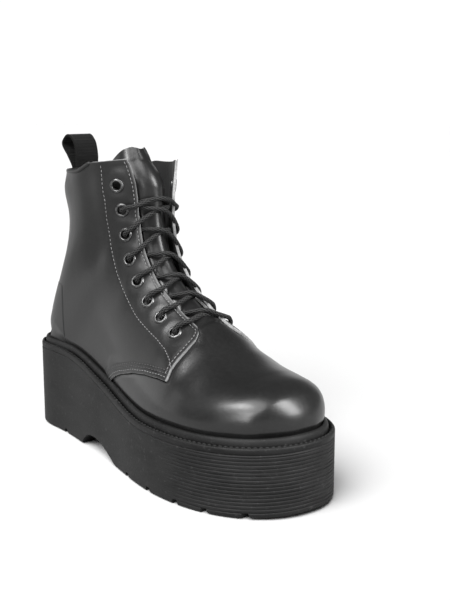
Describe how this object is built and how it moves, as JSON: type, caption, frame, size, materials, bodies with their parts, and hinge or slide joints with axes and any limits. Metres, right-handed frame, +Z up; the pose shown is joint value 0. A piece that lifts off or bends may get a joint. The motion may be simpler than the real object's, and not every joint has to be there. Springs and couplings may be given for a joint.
{
  "type": "platform boot",
  "caption": "Right-foot black lace-up ankle boot on a thick platform sole, with open collar, tongue, eyelets, laces and pull loop.",
  "frame": {"origin": "middle of the sole's footprint box, on the floor", "axes": "+X to the toe, +Y to the medial side (the wearer's left), +Z up"},
  "size_m": [0.282, 0.1116, 0.2272],
  "materials": {
    "sole_rubber": "satin, fine moulded lines round the forefoot",
    "welt_rubber": "matte moulded rubber",
    "insole_fabric": "matte",
    "smooth_leather": "smooth, half gloss",
    "webbing": "ribbed woven tape",
    "black_metal": "gunmetal gloss",
    "lace_cord": "braided cord"
  },
  "bodies": {
    "root": {"sole": "sole_rubber", "welt": "welt_rubber", "insole": "insole_fabric", "upper": "smooth_leather", "tongue": "smooth_leather", "pull_loop": "webbing", "eyelet_lateral_1": "black_metal", "eyelet_lateral_2": "black_metal", "eyelet_lateral_3": "black_metal", "eyelet_lateral_4": "black_metal", "eyelet_lateral_5": "black_metal", "eyelet_lateral_6": "black_metal", "eyelet_lateral_7": "black_metal", "eyelet_lateral_8": "black_metal", "eyelet_medial_1": "black_metal", "eyelet_medial_2": "black_metal", "eyelet_medial_3": "black_metal", "eyelet_medial_4": "black_metal", "eyelet_medial_5": "black_metal", "eyelet_medial_6": "black_metal", "eyelet_medial_7": "black_metal", "eyelet_medial_8": "black_metal", "lace_cross_1": "lace_cord", "lace_cross_2": "lace_cord", "lace_cross_3": "lace_cord", "lace_cross_4": "lace_cord", "lace_cross_5": "lace_cord", "lace_cross_6": "lace_cord", "lace_cross_7": "lace_cord", "lace_bar": "lace_cord"}
  },
  "joints": []
}
